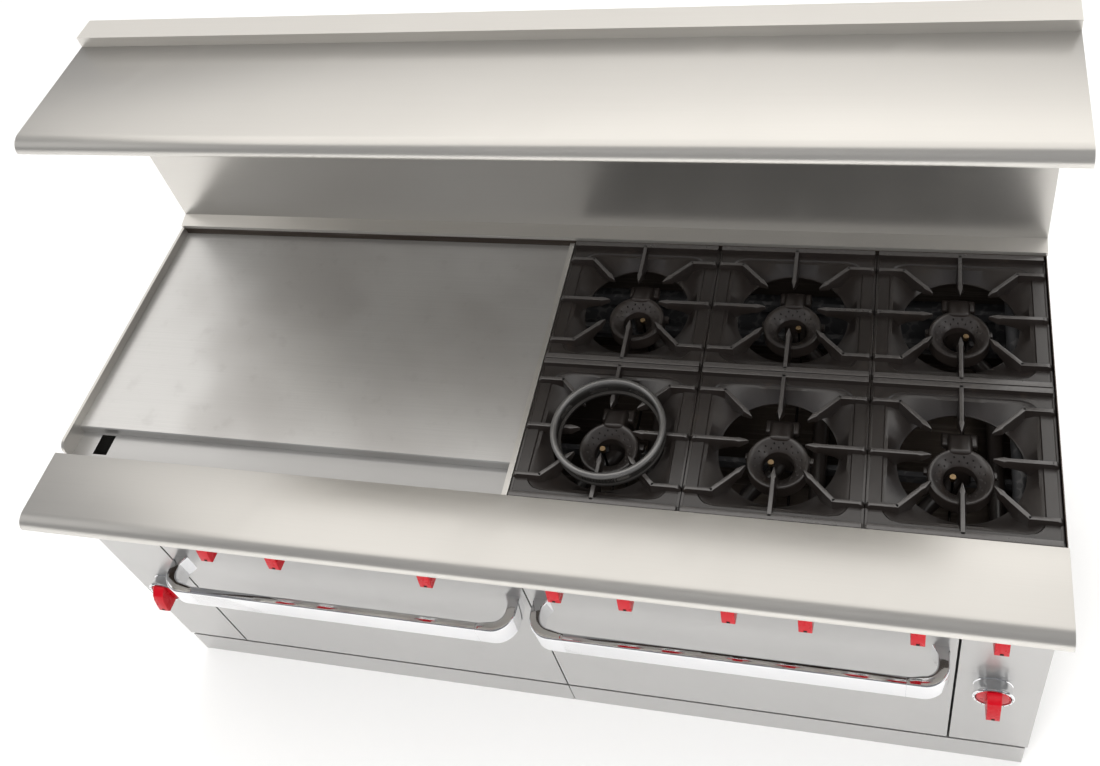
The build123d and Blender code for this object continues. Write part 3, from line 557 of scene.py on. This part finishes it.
def dished_plate(half_x, half_y):
    """Cast plate: flat border, sunken panel with rounded corners, slope down to a round mouth."""
    plate = start("plane", "dish", size=1, location=(0, 0, -WEB))
    bpy.ops.transform.resize(value=(2 * half_x, 2 * half_y, 1))
    settle(plate)
    bpy.ops.object.mode_set(mode="EDIT")
    bpy.ops.mesh.select_all(action="SELECT")
    bpy.ops.mesh.delete(type="ONLY_FACE")
    bpy.ops.mesh.select_all(action="SELECT")
    bpy.ops.mesh.subdivide(number_cuts=15)

    def carry(down, x, y):
        bpy.ops.mesh.extrude_edges_move(TRANSFORM_OT_translate={"value": (0, 0, -down)})
        bpy.ops.transform.resize(value=(x, y, 1), center_override=(0, 0, 0))

    carry(0, 1 - BORDER_X / half_x, 1 - BORDER_Y / half_y)
    close()
    inner_x, inner_y = half_x - BORDER_X, half_y - BORDER_Y
    corner, along_x, along_y = (0.93, 0.93, 1), (1, 0.972, 1), (0.972, 1, 1)
    for near_x, near_y, scale in ((0, 0, corner), (-1, 0, along_x), (0, -1, along_y)):
        choose(plate, lambda v: abs(abs(v.co.x) - inner_x * (1 + near_x / 8)) < 2 * MM
               and abs(abs(v.co.y) - inner_y * (1 + near_y / 8)) < 2 * MM)
        bpy.ops.transform.resize(value=scale, center_override=(0, 0, 0))
        close()
    choose(plate, lambda v: abs(v.co.x) < half_x - 20 * MM and abs(v.co.y) < half_y - 18 * MM)
    carry(2.5 * MM, 0.985, 0.985)
    carry(1.0 * MM, 0.95, 0.95)
    carry(20.5 * MM, 1, 1)
    bpy.ops.transform.tosphere(value=1.0)
    close()
    floor = -WEB - 24 * MM
    choose(plate, lambda v: abs(v.co.z - floor) < 1e-4)
    scale = (MOUTH + LIP) / ring_radius(plate, floor)
    bpy.ops.transform.resize(value=(scale, scale, 1), center_override=(0, 0, 0))
    inner = MOUTH / (MOUTH + LIP)
    carry(1.5 * MM, inner, inner)
    carry(3.0 * MM, 1, 1)
    close()
    tidy(plate)
    choose(plate, lambda v: True)
    if sum(face.normal.z for face in plate.data.polygons) < 0:
        bpy.ops.mesh.flip_normals()
    close()
    modify(plate, "SOLIDIFY", thickness=PLATE, offset=-1)
    return shade(plate, 35)


def cast_grate(half_x, half_y):
    """One grate, its middle at the origin and its top at zero."""
    parts = [dished_plate(half_x, half_y)]
    for side in (-1, 1):
        bar = block("rim", (-half_x, side * half_y - RIM * (side > 0), -GRATE_DEPTH),
                    (half_x, side * half_y + RIM * (side < 0), 0))
        choose(bar, lambda v: v.co.z > -TOUCH)
        bpy.ops.transform.resize(value=(1 - 3 * MM / half_x, 1, 1), center_override=(0, 0, 0))
        close()
        parts.append(bar)
        edge = block("edge",
                     (side * half_x - 5 * MM * (side > 0), -half_y + RIM, -GRATE_DEPTH + 10 * MM),
                     (side * half_x + 5 * MM * (side < 0), half_y - RIM, -WEB + 1 * MM))
        parts.append(edge)
        parts.append(placed(finger("long", TIP, half_y - RIM / 2), side * pi / 2))
        parts.append(placed(finger("cross", TIP, half_x - 9 * MM), (side < 0) * pi))
        parts.append(placed(notched_foot("end", half_x - 12 * MM, half_x), (side < 0) * pi))
    reach = (BEND - TIP) * 2 ** 0.5
    for quarter in range(4):
        sx = 1 if quarter in (0, 3) else -1
        sy = 1 if quarter < 2 else -1
        foot = placed(notched_foot("foot", BEND - 3 * MM, half_x), 0 if sx > 0 else pi,
                      (0, sy * ARM_Y, 0))
        slope = placed(finger("slope", 0, reach + 2 * MM), pi / 4 + quarter * pi / 2,
                       (sx * TIP, sy * (ARM_Y - BEND + TIP), 0))
        parts += [foot, slope]
    for piece in parts[1:]:
        soften(piece, 1.3 * MM, 2, 25)
    return join("grate", parts)


def grates(iron):
    low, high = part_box("grate_front_1")
    model = cast_grate((high.x - low.x) / 2, (high.y - low.y) / 2)
    paint_with(model, iron)
    for row in ("front", "back"):
        for column in (1, 2, 3):
            node = f"grate_{row}_{column}"
            centre = middle(node)
            place = Matrix.Translation((centre.x, centre.y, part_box(node)[1].z))
            dress(copy(model, f"cast_{node}", place), None, "cast_iron", f"{node}_body", node)
    discard(model)


# ---------------------------------------------------------------- burners
HEAD_R = 54 * MM
HEAD_HOLE = 28 * MM
HEAD_TOP = 43 * MM  # below the grate tops
HEAD_FORWARD = 11 * MM  # of the middle of its grate
PORT_SIDES = 64
PORT_REACH = 1.2 * MM  # a face whose middle is this near a row of ports is in it
MIXER_R = 14 * MM
KNOB_PAIR = 127 * MM  # between the two knobs of a grate column


def burner_head(top, iron, dark):
    """Cast ring with a rounded rim and two rows of drilled ports in the cone inside it."""
    profile = [(HEAD_HOLE, top - 34 * MM), (HEAD_HOLE, top - 17 * MM),
               (HEAD_HOLE + 1.6 * MM, top - 15.2 * MM),
               (HEAD_HOLE + 4 * MM, top - 12.6 * MM), (HEAD_HOLE + 7.5 * MM, top - 9.8 * MM),
               (HEAD_HOLE + 10 * MM, top - 7.8 * MM), (HEAD_HOLE + 13.5 * MM, top - 5.0 * MM),
               (HEAD_HOLE + 17.5 * MM, top - 1.6 * MM), (HEAD_R - 4.6 * MM, top),
               (HEAD_R - 2.4 * MM, top), (HEAD_R - 0.6 * MM, top - 1.2 * MM),
               (HEAD_R, top - 3.2 * MM), (HEAD_R - 0.5 * MM, top - 12 * MM),
               (HEAD_R, top - 14 * MM), (HEAD_R, top - 28 * MM), (HEAD_R - 8 * MM, top - 34 * MM)]
    head = turned("head", profile, PORT_SIDES)
    paint_with(head, iron, dark)
    step = 2 * pi / PORT_SIDES
    rows = ((HEAD_HOLE + 5.75 * MM, top - 11.2 * MM), (HEAD_HOLE + 11.75 * MM, top - 6.4 * MM))
    for row, (radius, height) in enumerate(rows):

        def drilled(face):
            x, y, z = face.center
            place = round(atan2(y, x) / step - 0.5) % 4
            near = abs(hypot(x, y) - radius) < PORT_REACH and abs(z - height) < PORT_REACH
            return near and place == 2 * row

        choose(head, drilled, "FACE")
        bpy.ops.mesh.inset(thickness=0.5 * MM, use_individual=True)
        bpy.ops.mesh.extrude_faces_move(TRANSFORM_OT_shrink_fatten={"value": -2.5 * MM})
        # the drilled faces get the near-black material: painted shade inside the ports, with soot
        head.active_material_index = 1
        bpy.ops.object.material_slot_assign()
        close()
    return head


def burner(x, y, bend, front, top, axis_z, iron, dark):
    """Ring head, the throat rising behind it and the mixer running forward to the manifold."""
    head = burner_head(top, iron, dark)
    throat = block("throat", (-23 * MM, 41 * MM, axis_z - 14 * MM),
                   (23 * MM, 92 * MM, top + 5 * MM))
    choose(throat, lambda v: v.co.z > top)
    bpy.ops.transform.resize(value=(0.88, 0.9, 1), center_override=(0, 60 * MM, 0))
    close()
    choose(throat, lambda v: v.co.z > top and v.co.y > 80 * MM)
    bpy.ops.transform.translate(value=(0, 0, -13 * MM))
    close()
    soften(throat, 8 * MM, 4, 30)
    lip = block("lip", (-30 * MM, 70 * MM, top - 34 * MM), (30 * MM, 96 * MM, top - 20 * MM))
    soften(lip, 4 * MM, 3, 30)
    route = [(0, 84 * MM, axis_z), (0, 38 * MM, axis_z), (bend, -22 * MM, axis_z),
             (bend, -60 * MM, axis_z), (bend, front - y, axis_z)]
    mixer = tube("mixer", route, MIXER_R)
    ears = [block("ear", (side * 50 * MM - 9 * MM, 12 * MM, top - 30 * MM),
                  (side * 50 * MM + 9 * MM, 24 * MM, top - 20 * MM)) for side in (-1, 1)]
    for ear in ears:
        soften(ear, 1.5 * MM, 2, 30)
    for piece in (throat, lip, mixer, *ears):
        paint_with(piece, iron)
    whole = join("burner", [throat, lip, mixer, *ears, head])
    whole.data.transform(Matrix.Translation((x, y, 0)))
    return whole


def burners(iron, dark):
    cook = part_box("grate_front_1")[1].z
    top = cook - HEAD_TOP
    axis_z = middle("gas_valves").z
    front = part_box("burners_front")[0].y
    for row, side in (("front", -1), ("back", 1)):
        rings = []
        for column in (1, 2, 3):
            centre = middle(f"grate_{row}_{column}")
            rings.append(burner(centre.x, centre.y - HEAD_FORWARD, side * (KNOB_PAIR / 2), front,
                                top, axis_z, iron, dark))
        castings = join(f"burner_castings_{row}", rings)
        dress(castings, None, "cast_iron", "range_body", f"burners_{row}")


# ---------------------------------------------------------------- wok ring
def wok_ring(steel):
    """Pierced ring with a rolled top, plain ribs round its front and a flat foot."""
    low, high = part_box("wok_ring")
    height = high.z - low.z
    radius, roll = 97 * MM, 6 * MM
    wall = turned("wall", [(radius - 9 * MM, 0), (radius + 3 * MM, 0), (radius + 3 * MM, 4 * MM),
                           (radius + 1 * MM, 6 * MM),
                           (radius, height - 9 * MM), (radius - 4.5 * MM, height - 9 * MM),
                           (radius - 4.5 * MM, 6 * MM), (radius - 9 * MM, 4 * MM)], 96)
    cutters = []
    for window in range(8):
        cutter = block("cutter", (radius - 20 * MM, -17 * MM, 9 * MM),
                       (radius + 20 * MM, 17 * MM, height - 13 * MM))
        soften(cutter, 3 * MM, 3)
        cutters.append(placed(cutter, pi / 4 * (window + 0.5)))
    cutter = join("cutters", cutters)
    modify(wall, "BOOLEAN", operation="DIFFERENCE", object=cutter, solver="EXACT")
    discard(cutter)
    top = start("torus", "roll", major_radius=radius, minor_radius=roll, major_segments=96,
                minor_segments=20, location=(0, 0, height - roll))
    settle(top)
    ribs = []
    for k in range(-6, 7):
        rib = block("rib", (radius - 1 * MM, -1.2 * MM, 8 * MM),
                    (radius + 2.6 * MM, 1.2 * MM, height - 12 * MM))
        soften(rib, 0.6 * MM, 2)
        ribs.append(placed(rib, -pi / 2 + k * 0.052))
    ring = join("pierced_wok_ring", [wall, *ribs, top])
    shade(ring, 35)
    centre = (low + high) / 2
    ring.data.transform(Matrix.Translation((centre.x, centre.y, low.z)))
    dress(ring, steel, "cast_iron", "wok_ring_body", "wok_ring")


# ---------------------------------------------------------------- knobs and bezels
def knob_model(red, dark):
    """Knob with its shaft along Z from the panel at zero, and its grip standing along Y."""
    disc = turned("disc", [(20 * MM, 18 * MM), (28 * MM, 18 * MM), (29 * MM, 19 * MM),
                           (29 * MM, 22.6 * MM), (28 * MM, 23.8 * MM), (24 * MM, 24.4 * MM),
                           (4 * MM, 25.2 * MM)], 64, ring=False)
    grip = block("grip", (-12 * MM, -28.5 * MM, 25 * MM), (12 * MM, 28.5 * MM, 54 * MM))
    for y in (-23.6, -10, 8, 19, 25.7):
        choose(grip, lambda v: True)
        bpy.ops.mesh.bisect(plane_co=(0, y * MM, 0), plane_no=(0, 1, 0))
        close()
    for y, drop in ((-28.5, 2.5), (-10, 2), (8, 6), (19, 11.5), (25.7, 20), (28.5, 28)):
        choose(grip, lambda v: abs(v.co.y - y * MM) < TOUCH and v.co.z > 50 * MM)
        bpy.ops.transform.translate(value=(0, 0, -drop * MM))
        close()
    choose(grip, lambda v: v.co.z < 26 * MM)
    bpy.ops.transform.resize(value=(1.06, 1, 1), center_override=(0, 0, 0))
    close()
    choose(grip, lambda v: v.co.z > 45 * MM)
    bpy.ops.transform.resize(value=(0.95, 1, 1), center_override=(0, 0, 0))
    close()
    soften(grip, 1.8 * MM, 3, 24)
    pointer = block("pointer", (-3.0 * MM, -23.5 * MM, 53.0 * MM), (3.0 * MM, -18 * MM, 53.9 * MM))
    soften(pointer, 0.3 * MM, 2)
    for piece in (disc, grip):
        paint_with(piece, red)
    stem = turned("stem", [(4 * MM, -30 * MM), (4 * MM, 18 * MM)], 24, ring=False)
    for piece in (pointer, stem):
        paint_with(piece, dark)
    return join("knob", [disc, pointer, stem, grip])


def panel_place(x, y, z):
    """Turns a shape's Z to face out of the front and its Y to face up."""
    return Matrix.Translation((x, y, z)) @ Matrix.Rotation(pi / 2, 4, "X")


def knobs(red, dark):
    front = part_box("control_panel")[0].y
    model = knob_model(red, dark)
    nodes = [f"griddle_knob_{i}" for i in (1, 2, 3)] + [f"burner_knob_{i}" for i in range(1, 7)]
    nodes += ["thermostat_knob_left", "thermostat_knob_right"]
    for node in nodes:
        centre = middle(node)
        place = panel_place(centre.x, front, centre.z)
        dress(copy(model, f"moulded_{node}", place), None, "red_plastic", f"{node}_body", node)
    discard(model)
    return nodes, front


def bezels(nodes, front, chrome, dark):
    """Flared chrome collar round each knob, with small dark dots round its lip."""
    collar = turned("collar", [(30 * MM, 0), (34 * MM, 0), (34 * MM, 1.5 * MM), (32.6 * MM, 3 * MM),
                               (32.6 * MM, 15 * MM), (33.4 * MM, 18 * MM), (35.4 * MM, 20 * MM),
                               (36 * MM, 21.6 * MM), (35.6 * MM, 23.8 * MM), (34.2 * MM, 25 * MM),
                               (31.4 * MM, 24.6 * MM), (30.2 * MM, 23 * MM),
                               (30 * MM, 20 * MM)], 72)
    dots, count = [], 16
    for k in range(count):
        dot = start("uv_sphere", "dot", radius=0.9 * MM, segments=12, ring_count=8)
        bpy.ops.transform.resize(value=(1, 1, 0.5))
        settle(dot)
        angle = 2 * pi * (k + 0.5) / count
        place = (33 * MM * cos(angle), 33 * MM * sin(angle), 24.9 * MM)
        dots.append(shade(placed(dot, 0, place), 80))
    for dot in dots:
        paint_with(dot, dark)
    paint_with(collar, chrome)
    model = join("bezel", [*dots, collar])
    rings = []
    for node in nodes:
        centre = middle(node)
        rings.append(copy(model, "bezel", panel_place(centre.x, front, centre.z)))
    discard(model)
    dress(join("chrome_bezels", rings), None, "chrome", "range_body", "knob_bezels")


# ---------------------------------------------------------------- door handles
def door_handle(side, chrome):
    """Flat bar handle: a rounded section swept out of the door, round, along and back again."""
    low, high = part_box(f"door_handle_{side}")
    out, tall, thick = high.y - low.y, high.z - low.z, 16 * MM
    corner, arm, swell = 44 * MM, 30 * MM, 1.3
    base, middle_z, straight = high.y, (low.z + high.z) / 2, out - corner
    bar = start("plane", f"bar_handle_{side}", size=1, location=(low.x + arm / 2, base, middle_z),
                rotation=(pi / 2, 0, 0))
    bpy.ops.transform.resize(value=(arm, 1, tall))
    settle(bar)
    choose(bar, lambda v: True)
    bpy.ops.mesh.bevel(offset=5.0 * MM, segments=5, affect="VERTICES")
    bpy.ops.mesh.select_all(action="SELECT")
    bpy.ops.mesh.delete(type="ONLY_FACE")
    bpy.ops.mesh.select_all(action="SELECT")

    def carry(shift, scale=None, about=(0, 0, 0)):
        bpy.ops.mesh.extrude_edges_move(TRANSFORM_OT_translate={"value": shift})
        if scale:
            bpy.ops.transform.resize(value=scale, center_override=about)

    def corner_turn(x):
        bpy.ops.mesh.spin(steps=12, angle=QUARTER_TURN, center=(x, base - straight, 0),
                          axis=(0, 0, 1))

    neck = thick * swell
    carry((0, -straight * 0.5, 0), (neck / arm, 1, 1), (low.x, 0, 0))
    carry((0, -straight * 0.5, 0))
    corner_turn(low.x + corner)
    run, casting, seam, taper = high.x - low.x - 2 * corner, 26 * MM, 0.7 * MM, 6 * MM
    centre = (0, low.y + thick / 2, middle_z)
    carry((casting - taper, 0, 0), (1, 1 / swell, 1), (0, low.y, 0))
    for length in (taper, run - 2 * casting - 4 * seam):
        carry((length, 0, 0))
        carry((seam, 0, 0), (1, 0.9, 0.97), centre)
        carry((seam, 0, 0), (1, 1 / 0.9, 1 / 0.97), centre)
    carry((taper, 0, 0))
    carry((casting - taper, 0, 0), (1, swell, 1), (0, low.y, 0))
    corner_turn(high.x - corner)
    carry((0, straight * 0.5, 0))
    carry((0, straight * 0.5, 0), (arm / neck, 1, 1), (high.x, 0, 0))
    bpy.ops.mesh.select_all(action="SELECT")
    bpy.ops.mesh.remove_doubles(threshold=MERGE)
    bpy.ops.mesh.fill_holes(sides=0)
    bpy.ops.mesh.normals_make_consistent(inside=False)
    close()
    shade(bar, 50)
    dress(bar, chrome, "chrome", f"door_{side}", f"door_handle_{side}")


# ---------------------------------------------------------------- ledge and shelf
def rolled_sheet(node, steel, tall, reach, curl, lip):
    """Sheet top that rolls over softly to its front, curls under, and has a plate over each end."""
    low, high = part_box(node)
    low.z = high.z - tall
    drop = high.z - low.z - curl
    roll_steps, curl_steps = 10, 6
    route = [(low.y + reach * (1 - sin(t)), high.z - drop * (1 - cos(t)))
             for t in (k * pi / 2 / roll_steps for k in range(roll_steps + 1))]
    route += [(low.y + curl * (1 - cos(t)), low.z + curl * (1 - sin(t)))
              for t in (k * pi / 2 / curl_steps for k in range(1, curl_steps + 1))]
    route += [(low.y + lip, low.z), (high.y, low.z), (high.y, high.z)]
    front = route[0][0]
    sheet = start("plane", f"rolled_{node}", size=1, location=(0, (high.y + front) / 2, high.z))
    bpy.ops.transform.resize(value=(high.x - low.x, high.y - front, 1))
    settle(sheet)
    choose(sheet, lambda v: v.co.y < front + MERGE)
    for (y0, z0), (y1, z1) in pairwise(route):
        bpy.ops.mesh.extrude_edges_move(TRANSFORM_OT_translate={"value": (0, y1 - y0, z1 - z0)})
    bpy.ops.mesh.select_all(action="SELECT")
    bpy.ops.mesh.remove_doubles(threshold=MERGE)
    bpy.ops.mesh.fill_holes(sides=0)
    bpy.ops.mesh.normals_make_consistent(inside=False)
    close()
    choose(sheet, lambda face: face.normal.y > 0.9
           or (face.normal.z < -0.9 and face.center.y > low.y + lip), "FACE")
    bpy.ops.mesh.delete(type="FACE")
    close()
    modify(sheet, "SOLIDIFY", thickness=1.5 * MM, offset=-1)
    soften(sheet, 0.7 * MM, 2, 50)
    dress(sheet, steel, "stainless", "range_body", node)


# ---------------------------------------------------------------- finishes of the CAD nodes
PILOT_TIP = 0.012  # length of its brass end


def finish_nodes(sheet, shaded_sheet, griddle, black, enamel, zinc, brass, tray):
    groups = {
        sheet: ("flue_cap", "griddle_splash", "divider_strip", "control_panel", "riser"),
        tray: ("burner_box", "crumb_tray", "grease_drawer"),
        # the darker copy of the stainless: painted shade on the doors and the front, side and back
        # sheets
        shaded_sheet: ("door_pan_left", "door_pan_right", "front_panel_left", "front_panel_right",
                  "kick_plates", "side_panel_left", "side_panel_right", "back_panel",
                  "griddle_trough", "shelf_brackets", "fasteners"),
        griddle: ("griddle_plate",),
        black: ("base_frame", "gas_manifold", "burner_rails", "centre_divider", "oven_deck"),
        enamel: ("oven_liners", "oven_face_frame", "door_liner_left", "door_liner_right"),
        zinc: ("oven_racks", "door_hinges", "thermostats", "tube_burners"),
        brass: ("gas_valves",),
        turned_brass("pilot_brass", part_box("pilots")[1].z - PILOT_TIP): ("pilots",),
    }
    for material, names in groups.items():
        for name in names:
            paint_with(NODES[name], material)


# ---------------------------------------------------------------- studio
FLOOR_SIZE = 60
FLOOR_GAP = 0.0005  # below the base, so that the two faces don't fight
SKY_STRENGTH = 0.22


def studio():
    """Pale floor, a faint sky, two broad overhead lights, two small side ones and two fills."""
    floor = start("plane", "studio_floor", size=FLOOR_SIZE, location=(0, 0, -FLOOR_GAP))
    settle(floor)
    pale = Finish("pale_floor")
    cloud = pale.noise(pale.here, 0.4, 2, 0.5)
    colour = pale.mix(cloud, rgb(0.93, 0.93, 0.93), rgb(0.95, 0.95, 0.95))
    paint_with(floor, pale.done(colour, 0.9 + cloud * 0.02))
    world = bpy.data.worlds.new("studio")
    bpy.context.scene.world = world
    world.use_nodes = True
    sky = world.node_tree.nodes["Background"]
    sky.inputs["Color"].default_value = rgb(0.95, 0.96, 1.0)
    sky.inputs["Strength"].default_value = SKY_STRENGTH
    bpy.context.scene.view_settings.view_transform = "Standard"
    warm, plain = (1.0, 0.975, 0.935), (1.0, 0.99, 0.97)
    softbox("overhead", (0.0, 1.3, 4.6), (0.2, 0.5, 0.6), 9.6, 3.8, 116, warm)
    softbox("rear_overhead", (-1.0, 4.7, 4.4), (-0.4, 1.0, 0.9), 13.0, 3.0, 94, warm)
    softbox("left", (-5.2, -1.6, 3.0), (-0.4, -0.6, 0.2), 2.4, 2.4, 7, plain)
    softbox("right", (5.2, -1.4, 3.0), (0.4, -0.6, 0.2), 2.4, 2.4, 14, plain)
    softbox("floor_fill", (0.6, -3.6, 5.0), (0.2, -1.6, 0.0), 6.0, 2.6, 360, plain, seen=False)
    softbox("rear_floor_fill", (0.0, 6.5, 5.0), (0.0, 4.5, 0.0), 8.0, 2.6, 270, plain, seen=False)


def softbox(name, place, target, width, height, power, colour, seen=True):
    """A soft rectangular light. One that is not seen doesn't show in polished metal."""
    light = bpy.data.lights.new(name, "AREA")
    light.shape = "RECTANGLE"
    light.size, light.size_y, light.energy = width, height, power
    light.color = colour
    lamp = bpy.data.objects.new(name, light)
    lamp.location = place
    lamp.rotation_euler = (Vector(target) - Vector(place)).to_track_quat("-Z", "Y").to_euler()
    lamp.visible_glossy = seen
    bpy.context.scene.collection.objects.link(lamp)


FOCAL_LENGTH, SENSOR_WIDTH = 38.09, 36  # in millimetres
SHIFT_X, SHIFT_Y = -0.0283, -0.1339
CAMERA_PLACE = (0.6561, -1.1874, 2.4968)
CAMERA_TURN = (42.849, 10.303, 11.713)  # in degrees


def camera():
    lens = bpy.data.cameras.new("camera")
    lens.lens, lens.sensor_width = FOCAL_LENGTH, SENSOR_WIDTH
    lens.shift_x, lens.shift_y = SHIFT_X, SHIFT_Y
    eye = bpy.data.objects.new("camera", lens)
    eye.location = CAMERA_PLACE
    eye.rotation_euler = [radians(turn) for turn in CAMERA_TURN]
    bpy.context.scene.collection.objects.link(eye)
    bpy.context.scene.camera = eye


# ---------------------------------------------------------------- the range
iron = seasoned_iron()
# near-black: soot and painted shade for the ports, and the dark marks of knobs and bezels
dark = soot_and_port_shade()
chrome = polished_chrome()
red = red_moulding()
sheet = brushed_sheet("brushed_sheet", (0.72, 0.70, 0.665), (0.62, 0.60, 0.565))
# a darker copy of the same brushed stainless, painted shade for the doors and the front, side and
# back sheets
shaded_sheet = brushed_sheet("darker_steel_painted_shade", (0.55, 0.545, 0.535), (0.47, 0.465, 0.46))

finish_nodes(sheet, shaded_sheet, griddle_steel(), dark_paint(), speckled_enamel(), zinc_plate(),
             turned_brass(), tray_steel())
grates(iron)
burners(seasoned_iron("burner_iron", tone=1.25), dark)
wok_ring(ring_steel_painted_highlight())
knob_nodes, panel_front = knobs(red, dark)
bezels(knob_nodes, panel_front, chrome, dark)
for side in ("left", "right"):
    door_handle(side, chrome)
rolled_sheet("landing_ledge", sheet, 30 * MM, 28 * MM, 7 * MM, 26 * MM)
rolled_sheet("high_shelf", sheet, 30 * MM, 28 * MM, 6 * MM, 24 * MM)
studio()
camera()
